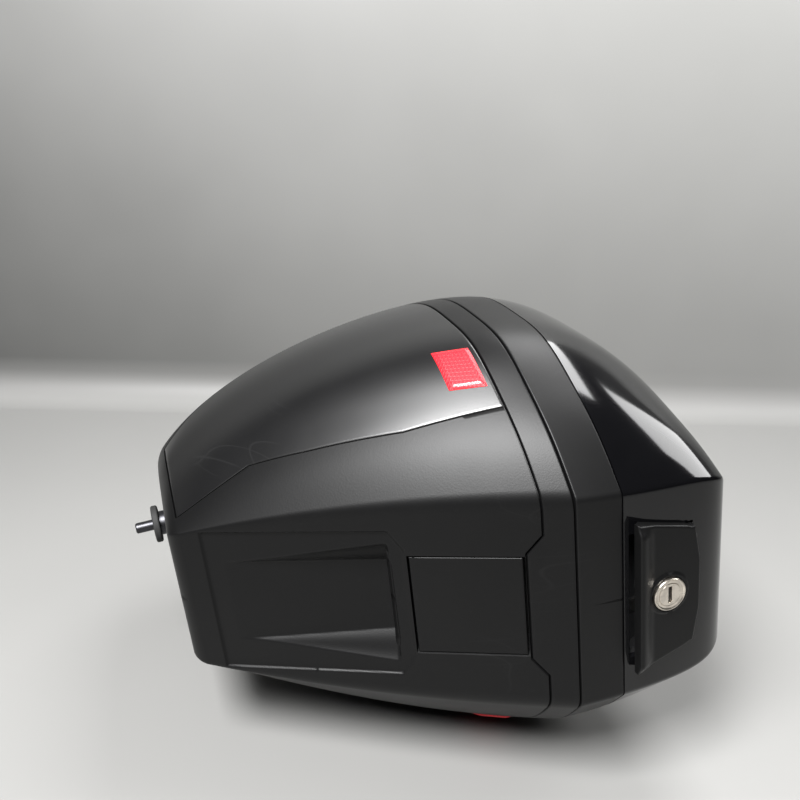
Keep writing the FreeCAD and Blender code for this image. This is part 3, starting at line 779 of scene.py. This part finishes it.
def make_lever():
    """Latch lever: domed plate, flared finger lip, sunk ring for the lock."""
    rows = []
    zs = np.r_[246.0, 246.15, 246.5, 247.1, np.linspace(248, 284, 60), np.linspace(284.5, 289, 10)]
    fr = np.r_[-1.0, -0.995, -0.985, np.linspace(-0.97, 0.97, 110), 0.985, 0.995, 1.0]
    for z0 in zs:
        row = []
        for f in fr:
            hw0 = float(np.interp(z0, [246, 285, 289], [50, 39, 39]))
            x = f * hw0
            z = z0
            top = float(lever_top(x))
            if z0 > 280:
                z = 280 + (z0 - 280) * (top - 280) / 9.0
            edge = min(hw0 - abs(x), z - 246.0, (top - z))
            roll = 1.1 * (1 - math.sqrt(max(0.0, 1 - (1 - min(edge, 1.4) / 1.4) ** 2)))
            lipfade = float(1 - smooth(0.86, 1.0, abs(f)))
            d = math.hypot(x, z - 267.0)
            lip = 4.7 * float(1 - smooth(247.5, 258.5, z)) * (0.35 + 0.65 * lipfade) * float(smooth(10.8, 13.5, d))
            ring = 0.9 * float(smooth(10.6, 10.9, d) * (1 - smooth(12.9, 13.7, d)))
            row.append([x, -246.8 - lip + roll - ring, z])
        rows.append(row)
    outer = np.array(rows)
    nr, nc = outer.shape[:2]
    back = outer.copy()
    back[..., 1] = -241.2 - 3.2 * (1 - smooth(246, 251, back[..., 2]))
    verts = np.vstack([outer.reshape(-1, 3), back.reshape(-1, 3)])
    base = nr * nc
    d = np.hypot(outer[..., 0], outer[..., 2] - 267.0)
    keep = ((d[:-1, :-1] > 9.2) & (d[1:, 1:] > 9.2))
    faces = grid_faces(nr, nc, keep=keep) + [f[::-1] for f in grid_faces(nr, nc, base, keep=keep)]
    for i in range(nr - 1):
        for j in (0, nc - 1):
            faces.append([i * nc + j, (i + 1) * nc + j, base + (i + 1) * nc + j, base + i * nc + j])
    for j in range(nc - 1):
        for i in (0, nr - 1):
            faces.append([i * nc + j, i * nc + j + 1, base + i * nc + j + 1, base + i * nc + j])
    obj = new_object("lever_face", verts, faces, "lever", GRAINED)
    weld(obj, 0.01)
    crisp(obj, 45)
    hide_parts("latch_lever")
    return obj


def lathe(name, profile, centre, body, material, segments=96, angle=35):
    """Turned piece about the lock's axis, which runs along Y."""
    verts, faces = [], []
    m = len(profile)
    for k in range(segments):
        a = 2 * math.pi * k / segments
        for r, y in profile:
            verts.append([centre[0] + r * math.cos(a), y, centre[2] + r * math.sin(a)])
    for k in range(segments):
        n = (k + 1) % segments
        for i in range(m - 1):
            faces.append([k * m + i, k * m + i + 1, n * m + i + 1, n * m + i])
    obj = new_object(name, verts, faces, body, material)
    weld(obj, 0.005)
    return crisp(obj, angle)


def make_lock():
    mid = (0.0, 0.0, 267.0)
    rim = lathe("lock_rim", [(7.26, -227.4), (7.26, -248.3), (7.5, -248.5), (8.9, -248.55), (9.2, -248.8),
                             (9.6, -249.05), (10.1, -249.0), (10.45, -248.6), (10.5, -248.0), (10.5, -246.95),
                             (9.0, -246.9), (9.0, -227.4), (7.26, -227.4)], mid, "lever", NICKEL)
    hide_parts("lock_bezel")
    bm = bmesh.new()
    bmesh.ops.create_circle(bm, cap_ends=True, segments=96, radius=7.2 * MM,
                            matrix=Matrix.Translation((0, -248.65 * MM, (267 + LIFT) * MM)) @ Matrix.Rotation(
                                math.pi / 2, 4, "X"))
    ext = bmesh.ops.extrude_face_region(bm, geom=bm.faces[:])
    bmesh.ops.translate(bm, verts=[g for g in ext["geom"] if isinstance(g, bmesh.types.BMVert)],
                        vec=(0, 21.6 * MM, 0))
    mesh = bpy.data.meshes.new("lock_barrel")
    bm.to_mesh(mesh)
    bm.free()
    plug = bpy.data.objects.new("lock_barrel", mesh)
    bpy.context.scene.collection.objects.link(plug)
    mesh.materials.append(NICKEL)
    cut_mesh = bpy.data.meshes.new("keyway_cutter")
    bm = bmesh.new()
    bmesh.ops.create_cube(bm, size=1.0)
    bmesh.ops.scale(bm, vec=(10.5 * MM, 9 * MM, 2.4 * MM), verts=bm.verts)
    bmesh.ops.translate(bm, vec=(0, -249.5 * MM, (267 + LIFT) * MM), verts=bm.verts)
    bm.to_mesh(cut_mesh)
    bm.free()
    cutter = bpy.data.objects.new("keyway_cutter", cut_mesh)
    bpy.context.scene.collection.objects.link(cutter)
    mod = plug.modifiers.new("keyway", "BOOLEAN")
    mod.operation, mod.object, mod.solver = "DIFFERENCE", cutter, "EXACT"
    bpy.context.view_layer.update()
    done = bpy.data.meshes.new_from_object(plug.evaluated_get(bpy.context.evaluated_depsgraph_get()))
    plug.modifiers.clear()
    plug.data = done
    bpy.data.objects.remove(cutter)
    bevelled(plug, 0.22, 2)
    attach(plug, "lock")
    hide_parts("lock_plug")
    slot = lathe("keyway_shade", [(0.0, -246.0), (6.4, -246.0), (6.4, -245.6), (0.0, -245.6)], mid, "lock", INNER, 40)


def make_flap():
    """Release flap: crowned plate with rolled edges, hinge barrel and ribs."""
    side, low, top = 33.2, -32.8, 33.2
    us = np.r_[-side + np.array([0, 0.15, 0.45, 0.9]), np.linspace(-side + 1.6, side - 1.6, 48),
               side - np.array([0.9, 0.45, 0.15, 0])]
    vs = np.r_[low + np.array([0, 0.15, 0.45, 0.9]), np.linspace(low + 1.6, top - 1.6, 48),
               top - np.array([0.9, 0.45, 0.15, 0])]
    outer, back = [], []
    for v in vs:
        for u in us:
            edge = min(side - abs(u), v - low, top - v)
            roll = 0.9 * (1 - math.sqrt(max(0.0, 1 - (1 - min(edge, 0.9) / 0.9) ** 2)))
            outer.append(on_face(u, v, -0.3 - roll + 0.12 * (1 - (u / side) ** 2)))
            back.append(on_face(u, v, -3.2))
    n = len(us)
    verts = np.array(outer + back)
    base = len(outer)
    faces = grid_faces(len(vs), n) + [f[::-1] for f in grid_faces(len(vs), n, base)]
    for i in range(len(vs) - 1):
        for j in (0, n - 1):
            faces.append([i * n + j, (i + 1) * n + j, base + (i + 1) * n + j, base + i * n + j])
    for j in range(n - 1):
        for i in (0, len(vs) - 1):
            faces.append([i * n + j, i * n + j + 1, base + i * n + j + 1, base + i * n + j])
    start = len(verts)
    extra = []
    for u0, v0, u1, v1, n0, n1 in ((-29, -22, -27, 28, -9, -3.1), (27, -22, 29, 28, -9, -3.1),
                                   (-29, -22, 29, -20, -9, -3.1), (-29, 26, 29, 28, -9, -3.1),
                                   (-9, 22, 9, 24.5, -15, -3.1)):
        corners = [on_face(u, v, d) for d in (n0, n1) for u, v in ((u0, v0), (u1, v0), (u1, v1), (u0, v1))]
        b = start + len(extra)
        extra += corners
        faces += [[b, b + 3, b + 2, b + 1], [b + 4, b + 5, b + 6, b + 7], [b, b + 1, b + 5, b + 4],
                  [b + 1, b + 2, b + 6, b + 5], [b + 2, b + 3, b + 7, b + 6], [b + 3, b, b + 4, b + 7]]
    b = start + len(extra)
    ring = 28
    for u in (-33.2, 33.2):
        for k in range(ring):
            a = 2 * math.pi * k / ring
            extra.append(on_face(u, -30 + 2.4 * math.cos(a), -2.75 + 2.4 * math.sin(a)))
    faces += [[b + k, b + (k + 1) % ring, b + ring + (k + 1) % ring, b + ring + k] for k in range(ring)]
    faces += [[b + k for k in range(ring)][::-1], [b + ring + k for k in range(ring)]]
    obj = new_object("flap_face", np.vstack([verts, extra]), faces, "flap", GRAINED)
    weld(obj, 0.005)
    crisp(obj, 45)
    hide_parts("release_flap")
    return obj


make_base_shell()
make_rim_band()
for side in (-1, 1):
    make_side_cover(side)
    make_reflector(side)
make_lid("lid_moulding", 214.6, -2.6, -5.2, 3.4, LIDGRAIN, 3.4, "lid_shell")
make_lid_band()
make_lid("gloss_cover", 241.5, 0.0, -2.4, 1.5, GLOSS, 3.8, "lid_gloss_cover")
make_lever()
make_lock()
make_flap()

NODE_LOOKS = {
    "floor_mat": RUBBER, "rim_seal": RUBBER, "peg_rubber_flange": RUBBER,
    "mounting_peg": DARKSTEEL, "peg_nut": STEEL, "rack_tongue_pockets": INNER, "floor_screws": STEEL,
    "hinge_base_brackets": INNER, "hinge_base_screws": STEEL, "hinge_pins": STEEL, "latch_striker": STEEL,
    "release_housing": INNER, "flap_pin": STEEL, "rack_bolt_guide": INNER, "rack_bolt": STEEL,
    "hinge_lid_leaves": INNER, "hinge_lid_screws": STEEL, "lever_pocket": INNER, "lever_pin": STEEL,
    "lever_spring": STEEL, "lock_housing": INNER, "lock_cam": STEEL, "latch_hook": STEEL}
for name, look in NODE_LOOKS.items():
    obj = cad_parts[name]
    obj.data.materials.clear()
    obj.data.materials.append(look)

# ---- stage: the case lies on its right flank --------------------------------
FLOOR_UP = Vector((-0.9912, 0.0, 0.1325)).normalized()
CAM_FWD = Vector((0.3484, 0.8981, 0.2684)).normalized()
AWAY = (CAM_FWD - FLOOR_UP * CAM_FWD.dot(FLOOR_UP)).normalized()
ACROSS = AWAY.cross(FLOOR_UP).normalized()
FLOOR_AT = Vector((0.1428, -0.085, 0.172))
WALL_B = 0.66
# painted shade and painted light: the wall's colour at its shaded foot and at its lit top and side
WALL_PAINTED_SHADE, WALL_PAINTED_LIGHT = (0.035, 0.035, 0.034), (0.33, 0.33, 0.32)
FLOOR_TONE = (0.19, 0.189, 0.184)


def stage_point(a, b, c):
    """a across, b away from the camera, c above the floor."""
    return FLOOR_AT + ACROSS * a + AWAY * b + FLOOR_UP * c


def spread(nodes, links, pos, axis, low, high):
    """0 to 1 along a fixed direction in the room."""
    dot = nodes.new("ShaderNodeVectorMath")
    dot.operation = "DOT_PRODUCT"
    dot.inputs[1].default_value = axis
    links.new(pos, dot.inputs[0])
    scale = nodes.new("ShaderNodeMapRange")
    scale.inputs["From Min"].default_value = low
    scale.inputs["From Max"].default_value = high
    links.new(dot.outputs["Value"], scale.inputs["Value"])
    return scale.outputs["Result"]


def make_stage():
    prof = [(b, 0.0) for b in np.linspace(-2.2, WALL_B - 0.05, 16)]
    for k in range(1, 13):
        a = math.pi / 2 * k / 12
        prof.append((WALL_B - 0.05 + 0.05 * math.sin(a), 0.05 * (1 - math.cos(a))))
    prof += [(WALL_B, c) for c in np.linspace(0.15, 3.2, 8)]
    verts = []
    across = np.linspace(-2.6, 2.6, 14)
    for b, c in prof:
        for a in across:
            verts.append(stage_point(a, b, c) / MM)
    faces = grid_faces(len(prof), len(across))
    mat = bpy.data.materials.new("pale_paper")
    mat.use_nodes = True
    nodes, links = mat.node_tree.nodes, mat.node_tree.links
    bsdf = nodes["Principled BSDF"]
    tex = nodes.new("ShaderNodeTexCoord")
    pos = tex.outputs["Object"]
    nz = node(nodes, "ShaderNodeTexNoise", Scale=3.0, Detail=3.0)
    links.new(pos, nz.inputs["Vector"])
    foot_c = FLOOR_AT.dot(FLOOR_UP)
    height = spread(nodes, links, pos, FLOOR_UP, foot_c + 0.01, foot_c + 0.07)
    # painted light on the backdrop: the wall is coloured darker near the floor and towards one side, paler higher up
    # and towards the other, in place of the lamps' falloff; the noise only adds random tone
    painted_height_light = spread(nodes, links, pos, FLOOR_UP, foot_c + 0.05, foot_c + 0.95)
    side = spread(nodes, links, pos, ACROSS, FLOOR_AT.dot(ACROSS) - 0.7, FLOOR_AT.dot(ACROSS) + 0.7)
    painted_wall_light_and_tone = math_node(nodes, links, "ADD", math_node(nodes, links, "MULTIPLY", painted_height_light, 0.45),
                     math_node(nodes, links, "MULTIPLY", side, 0.4))
    painted_wall_light_and_tone = math_node(nodes, links, "ADD", painted_wall_light_and_tone, math_node(nodes, links, "MULTIPLY", nz.outputs["Fac"], 0.15))
    wall = node(nodes, "ShaderNodeMix", data_type="RGBA")
    wall.inputs[6].default_value = (*WALL_PAINTED_SHADE, 1)
    wall.inputs[7].default_value = (*WALL_PAINTED_LIGHT, 1)
    links.new(painted_wall_light_and_tone, wall.inputs[0])
    floor = node(nodes, "ShaderNodeMix", data_type="RGBA")
    floor.inputs[6].default_value = (*[c * 0.96 for c in FLOOR_TONE], 1)
    floor.inputs[7].default_value = (*[c * 1.05 for c in FLOOR_TONE], 1)
    links.new(nz.outputs["Fac"], floor.inputs[0])
    both = node(nodes, "ShaderNodeMix", data_type="RGBA")
    links.new(height, both.inputs[0])
    links.new(floor.outputs[2], both.inputs[6])
    links.new(wall.outputs[2], both.inputs[7])
    links.new(both.outputs[2], bsdf.inputs["Base Color"])
    bsdf.inputs["Roughness"].default_value = 0.5
    bsdf.inputs["Specular IOR Level"].default_value = 0.3
    clear = nodes.new("ShaderNodeBsdfTransparent")
    back = nodes.new("ShaderNodeNewGeometry")
    choose = nodes.new("ShaderNodeMixShader")
    links.new(back.outputs["Backfacing"], choose.inputs["Fac"])
    links.new(bsdf.outputs[0], choose.inputs[1])
    links.new(clear.outputs[0], choose.inputs[2])
    links.new(choose.outputs[0], nodes["Material Output"].inputs["Surface"])
    obj = new_object("studio_floor", verts, faces, None, mat, lift=False)
    normal = obj.data.polygons[0].normal
    if normal.dot(FLOOR_UP) < 0:
        obj.data.flip_normals()


make_stage()


def area(name, at, aim, size, power, size_y=None, colour=(1, 1, 1)):
    data = bpy.data.lights.new(name, "AREA")
    data.shape = "RECTANGLE"
    data.size, data.size_y = size, size_y or size
    data.energy, data.color = power, colour
    obj = bpy.data.objects.new(name, data)
    bpy.context.scene.collection.objects.link(obj)
    obj.location = at
    obj.rotation_mode = "QUATERNION"
    obj.rotation_quaternion = (Vector(aim) - Vector(at)).to_track_quat("-Z", "Y")
    return obj


MID = stage_point(0.0, 0.0, 0.16)
area("top_softbox", stage_point(-0.45, -0.9, 1.4), MID, 0.7, 105, 0.55)
area("back_softbox", stage_point(0.35, 0.35, 1.4), MID, 0.8, 22, 0.6)
area("right_softbox", stage_point(1.2, 0.2, 1.1), MID, 0.6, 12, 0.6)

world = bpy.data.worlds.new("studio")
bpy.context.scene.world = world
world.use_nodes = True
wn, wl = world.node_tree.nodes, world.node_tree.links
wn["Background"].inputs["Color"].default_value = (0.60, 0.60, 0.61, 1)
wn["Background"].inputs["Strength"].default_value = 0.02
pale = wn.new("ShaderNodeBackground")
pale.inputs["Color"].default_value = (0.72, 0.72, 0.73, 1)
pale.inputs["Strength"].default_value = 0.75
path = wn.new("ShaderNodeLightPath")
pick = wn.new("ShaderNodeMixShader")
wl.new(path.outputs["Is Camera Ray"], pick.inputs["Fac"])
wl.new(wn["Background"].outputs[0], pick.inputs[1])
wl.new(pale.outputs[0], pick.inputs[2])
wl.new(pick.outputs[0], wn["World Output"].inputs["Surface"])

cam = bpy.data.cameras.new("camera")
cam.lens, cam.sensor_width = 36.31, 36.0
cam.clip_start, cam.clip_end = 0.05, 30
cam_obj = bpy.data.objects.new("camera", cam)
bpy.context.scene.collection.objects.link(cam_obj)
right = Vector((0.1036, -0.3215, 0.9412))
up = Vector((-0.9317, 0.3001, 0.2050))
turn = Matrix((right, up, -CAM_FWD)).transposed()
cam_obj.matrix_world = Matrix.Translation((-0.2821, -0.5819, 0.0310)) @ turn.to_4x4()
bpy.context.scene.camera = cam_obj
bpy.context.scene.view_settings.view_transform = "Standard"
